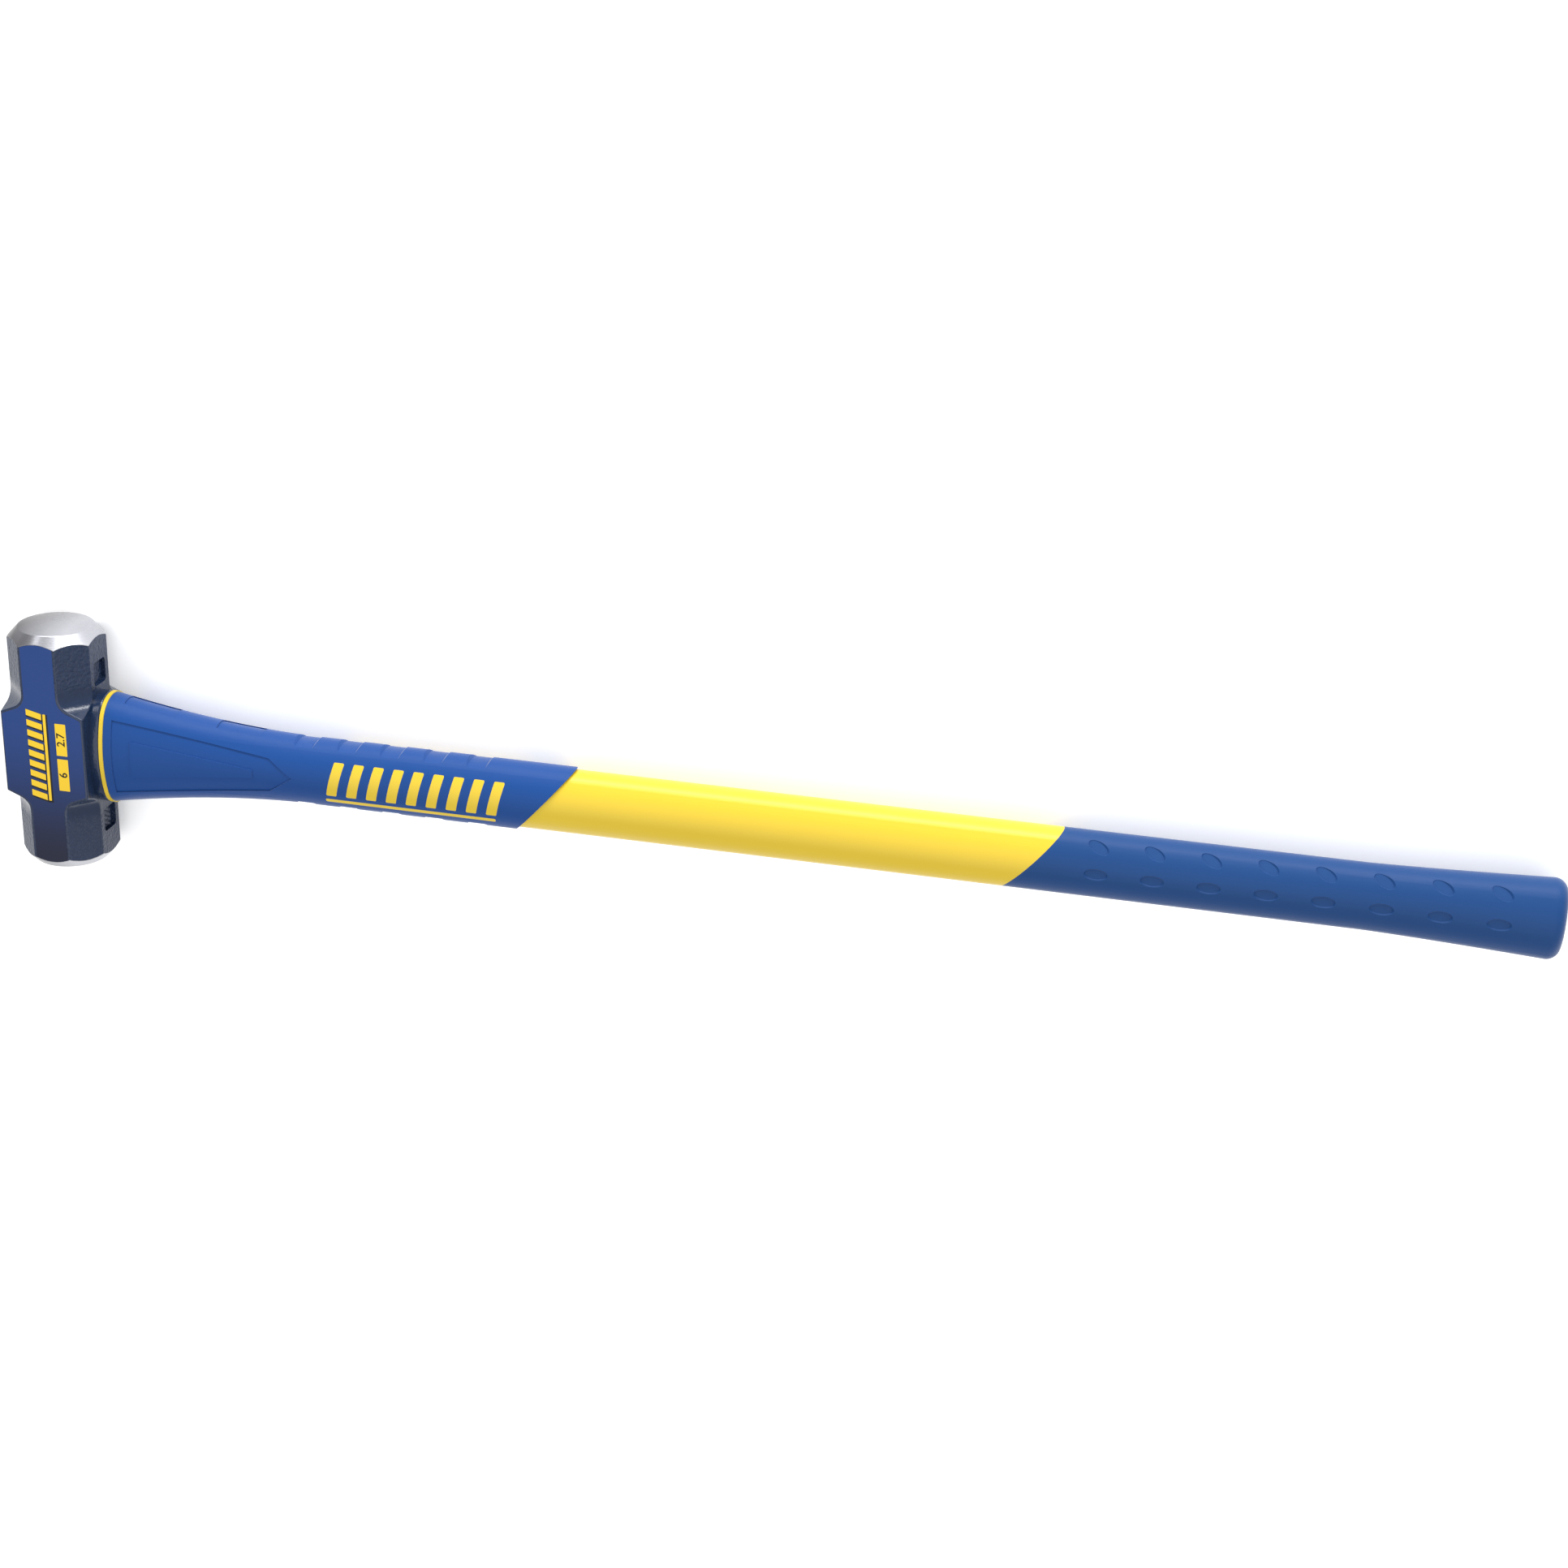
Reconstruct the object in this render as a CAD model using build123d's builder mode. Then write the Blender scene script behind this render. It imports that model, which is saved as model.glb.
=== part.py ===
# Sledgehammer: a forged double-faced head hung with resin on a moulded glass-fibre handle.
#
# Millimetres, lying on its side as it is put down. X runs along the handle from the head to the
# grip's end, Y along the striking axis, and Z up through the head from cheek to cheek. The origin
# is the middle of the cheek that the head rests on.
from build123d import *
import os
from math import cos, hypot, radians, sin, sqrt, tan

# ---- Overall sizes ----
overall_length = 914.4
head_length = 156.4
head_width = 53.0

# ---- Head ----
cheek_length = 51.0
corner_leg = 14.9
corner_round = 1.2
edge_round = 1.2
scoop_radius = 9.0
ledge_angle = 60.0
face_radius = 22.4
face_crown = 3.2
face_round = 1.2
chamfer_angle = 43.0
collar_height = 6.1
collar_inset = 0.2
collar_round = 1.6
recess_length = 15.0
recess_width = 15.0
recess_depth = 2.7
recess_round = 2.5
recess_middle = 47.5
mark_count = 4
mark_pitch = 3.1
mark_length = 9.5
mark_width = 1.5
mark_height = 0.8
mark_tilt = 62.0

# ---- Eye, resin and seal ----
eye_mouth_margin = 2.2
eye_taper_angle = 2.8
eye_recess = 1.5
seal_thickness = 4.0

# ---- Label over the upper flat of the head ----
label_side_margin = 1.3
label_end_margin = 0.5
label_round = 1.5
label_thickness = 0.15

# ---- Glass-fibre core ----
core_half_height = 13.0
core_half_depth = 9.5
core_side_swell = 2.0

# ---- Jacket: the moulding over the core ----
jacket_half_height = 19.5
jacket_half_depth = 15.6
jacket_side_swell = 2.6
jacket_end_wall = 14.0
ring_thickness = 2.4
ring_half_height = 35.4
ring_half_depth = 20.7
ring_side_swell = 3.1

# ---- Neck sleeve ----
sleeve_proud = 1.4
sleeve_wall = 3.0
sleeve_length = 272.0
flare_length = 125.0
flare_power = 1.78
flare_half_height = 34.7
flare_half_depth = 20.0
flare_side_swell = 3.0
flare_steps = 6
cut_slope = 0.87

# ---- Finger grooves in the sleeve's edges ----
groove_count = 5
groove_pitch = 26.8
groove_first = 124.0
groove_floor = 10.8
groove_slope = 1.8
groove_depth = 1.6
groove_crown_radius = 25.5

# ---- Shallow panels and pads in the sleeve's neck ----
panel_depth = 0.7
panel_start = 5.0
panel_length = 99.0
panel_tip = 15.0
panel_half_height = 23.5
panel_end_half_height = 10.5
island_start = 17.0
island_length = 77.0
island_half_height = 11.5
island_end_half_height = 2.5
pad_half_width = 6.5
pad_starts = (9.5, 68.0)
pad_lengths = (32.0, 28.0)

# ---- Slanted bars of the jacket that show through the sleeve ----
bar_count = 9
bar_pitch = 12.4
bar_width = 6.4
bar_low = -8.6
bar_high = 12.4
bar_lean = 0.24
bar_first = 142.0
bar_round = 0.8
rule_low = -13.6
rule_high = -11.2

# ---- Grip ----
grip_start = 559.5
grip_wall = 3.0
grip_end_wall = 8.0
grip_flare_length = 108.0
grip_flare_power = 1.3
grip_flare_steps = 5
grip_flare_rise = 4.3
grip_flare_depth_rise = 3.2
grip_end_round = 7.5

# ---- Dimples in the grip ----
dimple_count = 8
dimple_pitch = 31.45
dimple_first = 37.6
dimple_depth = 0.9
dimple_length = 13.6
dimple_width = 7.4
dimple_wall_angle = 45.0
dimple_row_angle = 39.0
dimple_tilt = 32.0

# ---- Places and sizes that follow from those above ----
# A side swell is how much flatter a side is than the ends: half the depth less the end's radius.
core_end_radius = core_half_depth - core_side_swell
jacket_end_radius = jacket_half_depth - jacket_side_swell
ring_end_radius = ring_half_depth - ring_side_swell
flare_end_radius = flare_half_depth - flare_side_swell
axis_height = head_width / 2
face_flat = head_width / 2
rim_place = head_length / 2 - face_crown
collar_face = face_flat + collar_height
sleeve_start = collar_face + ring_thickness
sleeve_cut = sleeve_start + sleeve_length
sleeve_half_height = jacket_half_height + sleeve_proud
sleeve_half_depth = jacket_half_depth + sleeve_proud
sleeve_end_radius = jacket_end_radius + sleeve_proud
flare_end = sleeve_start + flare_length
grip_cut = sleeve_start + grip_start
grip_end = overall_length - face_flat
grip_flare_start = grip_end - grip_flare_length
jacket_end = grip_end - grip_end_wall
core_end = jacket_end - jacket_end_wall
core_start = eye_recess - face_flat
seal_start = collar_face - seal_thickness
overrun = 1.0


def across(place):
    """Plane square to the handle at this X, with its own x along Y and its own y up."""
    return Plane(origin=(place, 0, axis_height), x_dir=(0, 1, 0), z_dir=(1, 0, 0))


def slanted(place):
    """Plane that cuts the handle on the slant, facing the grip's end."""
    return Plane(origin=(place, 0, axis_height), x_dir=(0, 0, 1), z_dir=(1, -cut_slope, 0))


def chamfer_place(radius):
    """Distance along the striking axis where the ground chamfer has this radius."""
    return rim_place - (radius - face_radius) / tan(radians(chamfer_angle))


def oval(half_height, half_depth, end_radius):
    """Oval of four arcs that run smoothly into each other, with its long way along x."""
    end_centre = half_height - end_radius
    side_radius = (end_centre**2 + half_depth**2 - end_radius**2) / (2 * (half_depth - end_radius))
    side_centre = side_radius - half_depth
    join_along = side_radius * end_centre / (side_radius - end_radius)
    join_up = side_radius * side_centre / (side_radius - end_radius) - side_centre
    with BuildLine() as outline:
        ThreePointArc((-join_along, join_up), (0, half_depth), (join_along, join_up))
        ThreePointArc((join_along, join_up), (half_height, 0), (join_along, -join_up))
        ThreePointArc((join_along, -join_up), (0, -half_depth), (-join_along, -join_up))
        ThreePointArc((-join_along, -join_up), (-half_height, 0), (-join_along, join_up))
    make_face(outline.edges())


def sleeve_form(inset):
    """Body of the sleeve with its surface moved in by inset: the flared neck, then straight."""
    with BuildPart() as form:
        for step in range(flare_steps + 1):
            share = (1 - step / flare_steps) ** flare_power
            with BuildSketch(across(sleeve_start + flare_length * step / flare_steps)):
                oval(
                    sleeve_half_height + (flare_half_height - sleeve_half_height) * share - inset,
                    sleeve_half_depth + (flare_half_depth - sleeve_half_depth) * share - inset,
                    sleeve_end_radius + (flare_end_radius - sleeve_end_radius) * share - inset,
                )
        loft()
        with BuildSketch(across(flare_end)):
            oval(sleeve_half_height - inset, sleeve_half_depth - inset, sleeve_end_radius - inset)
        extrude(amount=sleeve_cut + sleeve_half_height - flare_end)
    return form.part


def grip_form(inset):
    """Body of the grip with its surface moved in by inset: straight, then flared to its end."""
    with BuildPart() as form:
        with BuildSketch(across(grip_cut - jacket_half_height)):
            oval(jacket_half_height - inset, jacket_half_depth - inset, jacket_end_radius - inset)
        extrude(amount=grip_flare_start - grip_cut + jacket_half_height)
        for step in range(grip_flare_steps + 1):
            share = (step / grip_flare_steps) ** grip_flare_power
            place = grip_flare_start + grip_flare_length * step / grip_flare_steps
            with BuildSketch(across(place)):
                oval(
                    jacket_half_height + grip_flare_rise * share - inset,
                    jacket_half_depth + grip_flare_depth_rise * share - inset,
                    jacket_end_radius + grip_flare_depth_rise * share - inset,
                )
        loft()
    return form.part


# ---- Core ----
with BuildPart() as core:
    with BuildSketch(across(core_start)):
        oval(core_half_height, core_half_depth, core_end_radius)
    extrude(amount=core_end - core_start)
core.part.label = "core"

# ---- Eye: wider at the head's far side, so that the resin wedges the head on ----
with BuildPart() as eye:
    for place in (-face_flat - overrun, collar_face + overrun):
        margin = eye_mouth_margin + (collar_face - place) * tan(radians(eye_taper_angle))
        with BuildSketch(across(place)):
            oval(core_half_height + margin, core_half_depth + margin, core_end_radius + margin)
    loft(ruled=True)

# ---- Head ----
corner_distance = head_width / sqrt(2)
facet_distance = corner_distance - corner_leg / sqrt(2)
scoop_rise = corner_distance - facet_distance
ledge_turn = radians(ledge_angle)
ledge_rise = scoop_rise - scoop_radius * (1 - cos(ledge_turn))
ledge_end = cheek_length / 2 + ledge_rise / tan(ledge_turn)
scoop_end = ledge_end + scoop_radius * sin(ledge_turn)
cut_limit = corner_distance + overrun

with BuildPart() as head:
    # A square bar with rounded corners along the striking axis.
    with BuildSketch(Plane(origin=(0, 0, axis_height), x_dir=(1, 0, 0), z_dir=(0, 1, 0))):
        RectangleRounded(head_width, head_width, corner_round)
    extrude(amount=head_length / 2, both=True)

    # Each corner is cut off flat along both poles, then scooped out to a ledge at the square cheek.
    for corner in (45, 135, 225, 315):
        outward = (cos(radians(corner)), 0, sin(radians(corner)))
        sideways = (-sin(radians(corner)), 0, cos(radians(corner)))
        with BuildSketch(Plane(origin=(0, 0, axis_height), x_dir=outward, z_dir=sideways)):
            with BuildLine():
                start = (facet_distance, head_length)
                Line(start, (facet_distance, scoop_end))
                centre = (facet_distance + scoop_radius, scoop_end)
                scoop = CenterArc(centre, scoop_radius, 180, ledge_angle)
                Polyline(
                    scoop @ 1,
                    (cut_limit, cheek_length / 2 - overrun / tan(ledge_turn)),
                    (cut_limit, head_length),
                    start,
                )
            make_face()
            mirror(about=Plane.XZ)
        extrude(amount=face_flat, both=True, mode=Mode.SUBTRACT)
    pole_edges = head.edges().filter_by(
        lambda edge: abs((edge @ 0).Y - (edge @ 1).Y) > edge_round
        and cheek_length / 2 < abs(edge.center().Y) < head_length / 2 - edge_round
    )
    fillet(pole_edges, edge_round)

    # Crowned faces and ground chamfers, turned round the striking axis.
    with BuildSketch(Plane.XY.offset(axis_height)):
        with BuildLine():
            crown = TangentArc((0, head_length / 2), (face_radius, rim_place), tangent=(1, 0))
            Polyline(
                crown @ 1,
                (head_width, chamfer_place(head_width)),
                (head_width, 0),
                (0, 0),
                crown @ 0,
            )
        make_face()
        mirror(about=Plane.XZ)
    revolve(axis=Axis((0, 0, axis_height), (0, 1, 0)), mode=Mode.INTERSECT)
    rims = head.edges().filter_by(
        lambda edge: abs(abs((edge @ 0).Y) - rim_place) < overrun
        and abs(hypot((edge @ 0).X, (edge @ 0).Z - axis_height) - face_radius) < overrun
    )
    fillet(rims, face_round)

    # Raised collar round the mouth of the eye.
    with BuildSketch(across(face_flat - overrun)):
        oval(
            ring_half_height - collar_inset,
            ring_half_depth - collar_inset,
            ring_end_radius - collar_inset,
        )
    extrude(amount=collar_height + overrun)
    fillet(head.faces().sort_by(Axis.X)[-1].edges(), collar_round)

    # A forged recess on each pole, on the handle's side, with raised bars in the lower one.
    with BuildSketch(across(face_flat)):
        with GridLocations(2 * recess_middle, 0, 2, 1):
            RectangleRounded(recess_length, recess_width, recess_round)
    extrude(amount=-recess_depth, mode=Mode.SUBTRACT)
    with BuildSketch(across(face_flat - recess_depth)):
        with Locations((-recess_middle, 0)):
            with GridLocations(mark_pitch, 0, mark_count, 1):
                SlotOverall(mark_length, mark_width, rotation=mark_tilt)
    extrude(amount=mark_height)
    add(eye.part, mode=Mode.SUBTRACT)
head.part.label = "head"

# ---- Label over the whole upper flat of the head, shaped like the flat ----
pole_half_width = face_flat - corner_leg
scoop_half_rise = scoop_radius * (1 - cos(ledge_turn / 2))
scoop_half_way = (
    face_flat - (scoop_rise - scoop_half_rise) * sqrt(2),
    scoop_end - scoop_radius * sin(ledge_turn / 2),
)
scoop_stop = (face_flat - ledge_rise * sqrt(2), ledge_end)
label_stretch = label_side_margin - label_end_margin
label_corner = chamfer_place(hypot(face_flat, pole_half_width)) + label_stretch

with BuildPart() as face_label:
    with BuildSketch(Plane.XY.offset(head_width)):
        with BuildLine():
            Line((pole_half_width, label_corner), (pole_half_width, scoop_end))
            ThreePointArc((pole_half_width, scoop_end), scoop_half_way, scoop_stop)
            Polyline(scoop_stop, (face_flat, cheek_length / 2), (face_flat, 0))
            mirror(about=Plane.YZ)
            ThreePointArc(
                (-pole_half_width, label_corner),
                (0, chamfer_place(face_flat) + label_stretch),
                (pole_half_width, label_corner),
            )
            mirror(about=Plane.XZ)
        make_face()
        # Offset too far in, then back out again, which rounds the corners.
        offset(amount=-label_side_margin - label_round, mode=Mode.REPLACE)
        offset(amount=label_round, mode=Mode.REPLACE)
    extrude(amount=label_thickness)
face_label.part.label = "face_label"

# ---- Resin and seal between the eye and the core ----
with BuildPart() as eye_resin:
    add(eye.part)
    split(bisect_by=across(core_start), keep=Keep.TOP)
    split(bisect_by=across(seal_start), keep=Keep.BOTTOM)
    add(core.part, mode=Mode.SUBTRACT)
eye_resin.part.label = "eye_resin"

with BuildPart() as eye_seal:
    add(eye.part)
    split(bisect_by=across(seal_start), keep=Keep.TOP)
    split(bisect_by=across(collar_face), keep=Keep.BOTTOM)
    add(core.part, mode=Mode.SUBTRACT)
eye_seal.part.label = "eye_seal"

# ---- Jacket ----
with BuildPart() as bars:
    with BuildSketch(Plane.XY.offset(axis_height)) as bar_faces:
        rule_start = sleeve_start + bar_first + bar_lean * rule_low
        rule_end = rule_start + bar_pitch * (bar_count - 1) + bar_width
        rule_slant = bar_lean * (rule_high - rule_low)
        with BuildLine():
            Polyline(
                (rule_start, rule_low),
                (rule_end, rule_low),
                (rule_end + rule_slant, rule_high),
                (rule_start + rule_slant, rule_high),
                close=True,
            )
        make_face()
        for number in range(bar_count):
            foot = sleeve_start + bar_first + bar_pitch * number + bar_lean * bar_low
            top = foot + bar_lean * (bar_high - bar_low)
            with BuildLine():
                Polyline(
                    (foot, bar_low),
                    (foot + bar_width, bar_low),
                    (top + bar_width, bar_high),
                    (top, bar_high),
                    close=True,
                )
            make_face()
        fillet(bar_faces.vertices(), bar_round)
    extrude(amount=sleeve_half_depth + overrun, both=True)
    add(sleeve_form(0), mode=Mode.INTERSECT)

with BuildPart() as bare_handle:
    with BuildSketch(across(sleeve_cut - jacket_half_height)):
        oval(jacket_half_height, jacket_half_depth, jacket_end_radius)
    extrude(amount=grip_cut - sleeve_cut + 2 * jacket_half_height)
    split(bisect_by=slanted(sleeve_cut), keep=Keep.TOP)
    split(bisect_by=slanted(grip_cut), keep=Keep.BOTTOM)

with BuildPart() as jacket:
    with BuildSketch(across(collar_face)):
        oval(ring_half_height, ring_half_depth, ring_end_radius)
    extrude(amount=ring_thickness)
    add(sleeve_form(sleeve_wall))
    add(bars.part)
    add(bare_handle.part)
    with BuildSketch(across(grip_cut - jacket_half_height)):
        oval(
            jacket_half_height - grip_wall,
            jacket_half_depth - grip_wall,
            jacket_end_radius - grip_wall,
        )
    extrude(amount=jacket_end - grip_cut + jacket_half_height)
    add(core.part, mode=Mode.SUBTRACT)
jacket.part.label = "jacket"

# ---- Neck sleeve ----
with BuildPart() as grooves:
    groove_bottom = sleeve_half_height - groove_depth
    with BuildSketch(Plane.XY.offset(axis_height)):
        cutter_top = sleeve_half_height + overrun
        cutter_flank = groove_slope * (cutter_top - groove_bottom) / groove_depth
        for number in range(groove_count):
            left = sleeve_start + groove_first + groove_pitch * number - groove_floor / 2
            with BuildLine():
                Polyline(
                    (left, groove_bottom),
                    (left + groove_floor, groove_bottom),
                    (left + groove_floor + cutter_flank, cutter_top),
                    (left - cutter_flank, cutter_top),
                    close=True,
                )
            make_face()
    revolve(axis=Axis((0, groove_bottom - groove_crown_radius, axis_height), (1, 0, 0)))
    mirror(about=Plane.XZ)

with BuildPart() as shallow_cuts:
    panel_left = sleeve_start + panel_start
    panel_right = panel_left + panel_length
    island_left = sleeve_start + island_start
    island_right = island_left + island_length
    with BuildSketch(Plane.XY.offset(axis_height)):
        with BuildLine():
            Polyline(
                (panel_left, -panel_half_height),
                (panel_right, -panel_end_half_height),
                (panel_right + panel_tip, 0),
                (panel_right, panel_end_half_height),
                (panel_left, panel_half_height),
                close=True,
            )
        make_face()
        with BuildLine():
            Polyline(
                (island_left, -island_half_height),
                (island_right, -island_end_half_height),
                (island_right, island_end_half_height),
                (island_left, island_half_height),
                close=True,
            )
        make_face(mode=Mode.SUBTRACT)
    extrude(amount=flare_half_depth + overrun, both=True)
    with BuildSketch(Plane.XZ):
        for pad_start, pad_length in zip(pad_starts, pad_lengths):
            with Locations((sleeve_start + pad_start + pad_length / 2, axis_height)):
                Rectangle(pad_length, 2 * pad_half_width)
    extrude(amount=flare_half_height + overrun, both=True)
    add(sleeve_form(panel_depth), mode=Mode.SUBTRACT)

with BuildPart() as neck_sleeve:
    add(sleeve_form(0))
    split(bisect_by=slanted(sleeve_cut), keep=Keep.BOTTOM)
    add(grooves.part, mode=Mode.SUBTRACT)
    add(shallow_cuts.part, mode=Mode.SUBTRACT)
    add(jacket.part, mode=Mode.SUBTRACT)
    add(core.part, mode=Mode.SUBTRACT)
neck_sleeve.part.label = "neck_sleeve"

# ---- Grip ----
with BuildPart() as dimples:
    for number in range(dimple_count):
        place = grip_cut + dimple_first + dimple_pitch * number
        share = max(0, (place - grip_flare_start) / grip_flare_length) ** grip_flare_power
        end_radius = jacket_end_radius + grip_flare_depth_rise * share
        end_centre = jacket_half_height + grip_flare_rise * share - end_radius
        for side in (1, -1):
            # One row runs along the middle of the side, and one is turned towards the upper edge.
            for row in (0, 1):
                turn = radians(dimple_row_angle * row)
                surface = end_radius if row else end_radius + jacket_side_swell
                row_plane = Plane(
                    origin=(place, row * end_centre, axis_height),
                    x_dir=(1, 0, 0),
                    z_dir=(0, sin(turn), side * cos(turn)),
                )
                # Flat-floored, with walls that slope out to the surface and a little past it.
                for rise in (-dimple_depth, overrun):
                    spread = rise / tan(radians(dimple_wall_angle))
                    with BuildSketch(row_plane.offset(surface + rise)):
                        Ellipse(
                            dimple_length / 2 + spread,
                            dimple_width / 2 + spread,
                            rotation=-dimple_tilt * row * side,
                        )
                loft(ruled=True)

with BuildPart() as grip:
    add(grip_form(0))
    fillet(grip.faces().sort_by(Axis.X)[-1].edges(), grip_end_round)
    split(bisect_by=slanted(grip_cut), keep=Keep.TOP)
    add(dimples.part, mode=Mode.SUBTRACT)
    add(jacket.part, mode=Mode.SUBTRACT)
    add(core.part, mode=Mode.SUBTRACT)
grip.part.label = "grip"

os.makedirs("parts", exist_ok=True)
export_step(head.part, "parts/head.step")
export_step(face_label.part, "parts/face_label.step")
export_step(eye_resin.part, "parts/eye_resin.step")
export_step(eye_seal.part, "parts/eye_seal.step")
export_step(core.part, "parts/core.step")
export_step(jacket.part, "parts/jacket.step")
export_step(neck_sleeve.part, "parts/neck_sleeve.step")
export_step(grip.part, "parts/grip.step")
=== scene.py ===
"""Looks of the sledgehammer: the finish of each piece, the printed label and the studio around it.

The hammer lies on its side. X runs along the handle, Y along the striking axis, and Z up through
the head from cheek to cheek. Fields that end in _mm are in millimetres, and all others in metres.
"""

import logging
import math
from dataclasses import dataclass, field
from enum import Enum
from typing import Any

import bmesh
import bpy
from mathutils import Matrix, Vector


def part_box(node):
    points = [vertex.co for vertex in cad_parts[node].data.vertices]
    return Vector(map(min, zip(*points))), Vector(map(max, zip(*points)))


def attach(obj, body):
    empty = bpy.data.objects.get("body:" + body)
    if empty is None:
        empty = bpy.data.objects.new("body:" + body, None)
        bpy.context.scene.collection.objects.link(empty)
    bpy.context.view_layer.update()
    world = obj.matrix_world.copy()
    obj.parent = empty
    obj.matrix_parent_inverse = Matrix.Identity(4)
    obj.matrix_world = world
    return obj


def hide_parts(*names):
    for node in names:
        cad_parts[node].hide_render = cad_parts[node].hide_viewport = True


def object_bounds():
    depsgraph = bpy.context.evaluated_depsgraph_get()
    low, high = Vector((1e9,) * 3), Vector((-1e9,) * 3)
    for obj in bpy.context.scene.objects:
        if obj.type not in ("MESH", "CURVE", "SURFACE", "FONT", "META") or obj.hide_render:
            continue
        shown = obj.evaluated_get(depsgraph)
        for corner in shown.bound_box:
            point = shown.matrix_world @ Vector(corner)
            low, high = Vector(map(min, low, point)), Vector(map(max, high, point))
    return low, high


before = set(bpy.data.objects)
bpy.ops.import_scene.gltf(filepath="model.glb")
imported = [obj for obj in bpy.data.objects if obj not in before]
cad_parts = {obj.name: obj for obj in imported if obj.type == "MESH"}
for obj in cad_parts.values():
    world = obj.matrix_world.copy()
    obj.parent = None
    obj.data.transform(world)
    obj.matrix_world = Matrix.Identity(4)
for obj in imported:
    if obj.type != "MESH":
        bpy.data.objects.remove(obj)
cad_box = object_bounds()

MM = 0.001
BODY = "root"
Point = tuple[float, float, float]
logger = logging.getLogger("sledgehammer")


def linear(code: str) -> tuple[float, float, float, float]:
    """Turns an sRGB hex colour into the linear colour that the shaders work in.

    Args:
        code: Six hex digits after a hash.

    Returns:
        Linear red, green and blue, with full alpha.
    """
    parts = [int(code[place : place + 2], 16) / 255 for place in (1, 3, 5)]
    curved = [part / 12.92 if part <= 0.04045 else ((part + 0.055) / 1.055) ** 2.4 for part in parts]
    return (*curved, 1.0)


def add(tree: bpy.types.NodeTree, kind: str, inputs: dict | None = None, **settings: Any) -> Any:
    """Adds one node to a tree, with its settings, values and links.

    Args:
        tree: Node tree that the node joins.
        kind: Blender's name for the node's type.
        inputs: Value or output socket for each input, by name or number.
        **settings: Properties of the node itself.

    Returns:
        The new node.
    """
    node = tree.nodes.new(kind)
    for name, value in settings.items():
        setattr(node, name, value)
    for name, value in (inputs or {}).items():
        if isinstance(value, bpy.types.NodeSocket):
            tree.links.new(value, node.inputs[name])
        else:
            node.inputs[name].default_value = value
    return node


@dataclass(frozen=True)
class Finish:
    """What every finish has: a name, and a shader that reads the piece's own coordinates."""

    name: str

    def start(self) -> tuple[bpy.types.Material, bpy.types.NodeTree, Any, Any]:
        """Makes an empty material with a principled shader.

        Returns:
            The material, its tree, its shader, and the object coordinates' output.
        """
        material = bpy.data.materials.new(self.name)
        material.use_nodes = True
        tree = material.node_tree
        tree.nodes.clear()
        shader = add(tree, "ShaderNodeBsdfPrincipled")
        add(tree, "ShaderNodeOutputMaterial", {"Surface": shader.outputs["BSDF"]})
        place = add(tree, "ShaderNodeTexCoord").outputs["Object"]
        return material, tree, shader, place

    def make(self) -> bpy.types.Material:
        """Builds the material. Each finish does this its own way."""
        raise NotImplementedError


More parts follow.
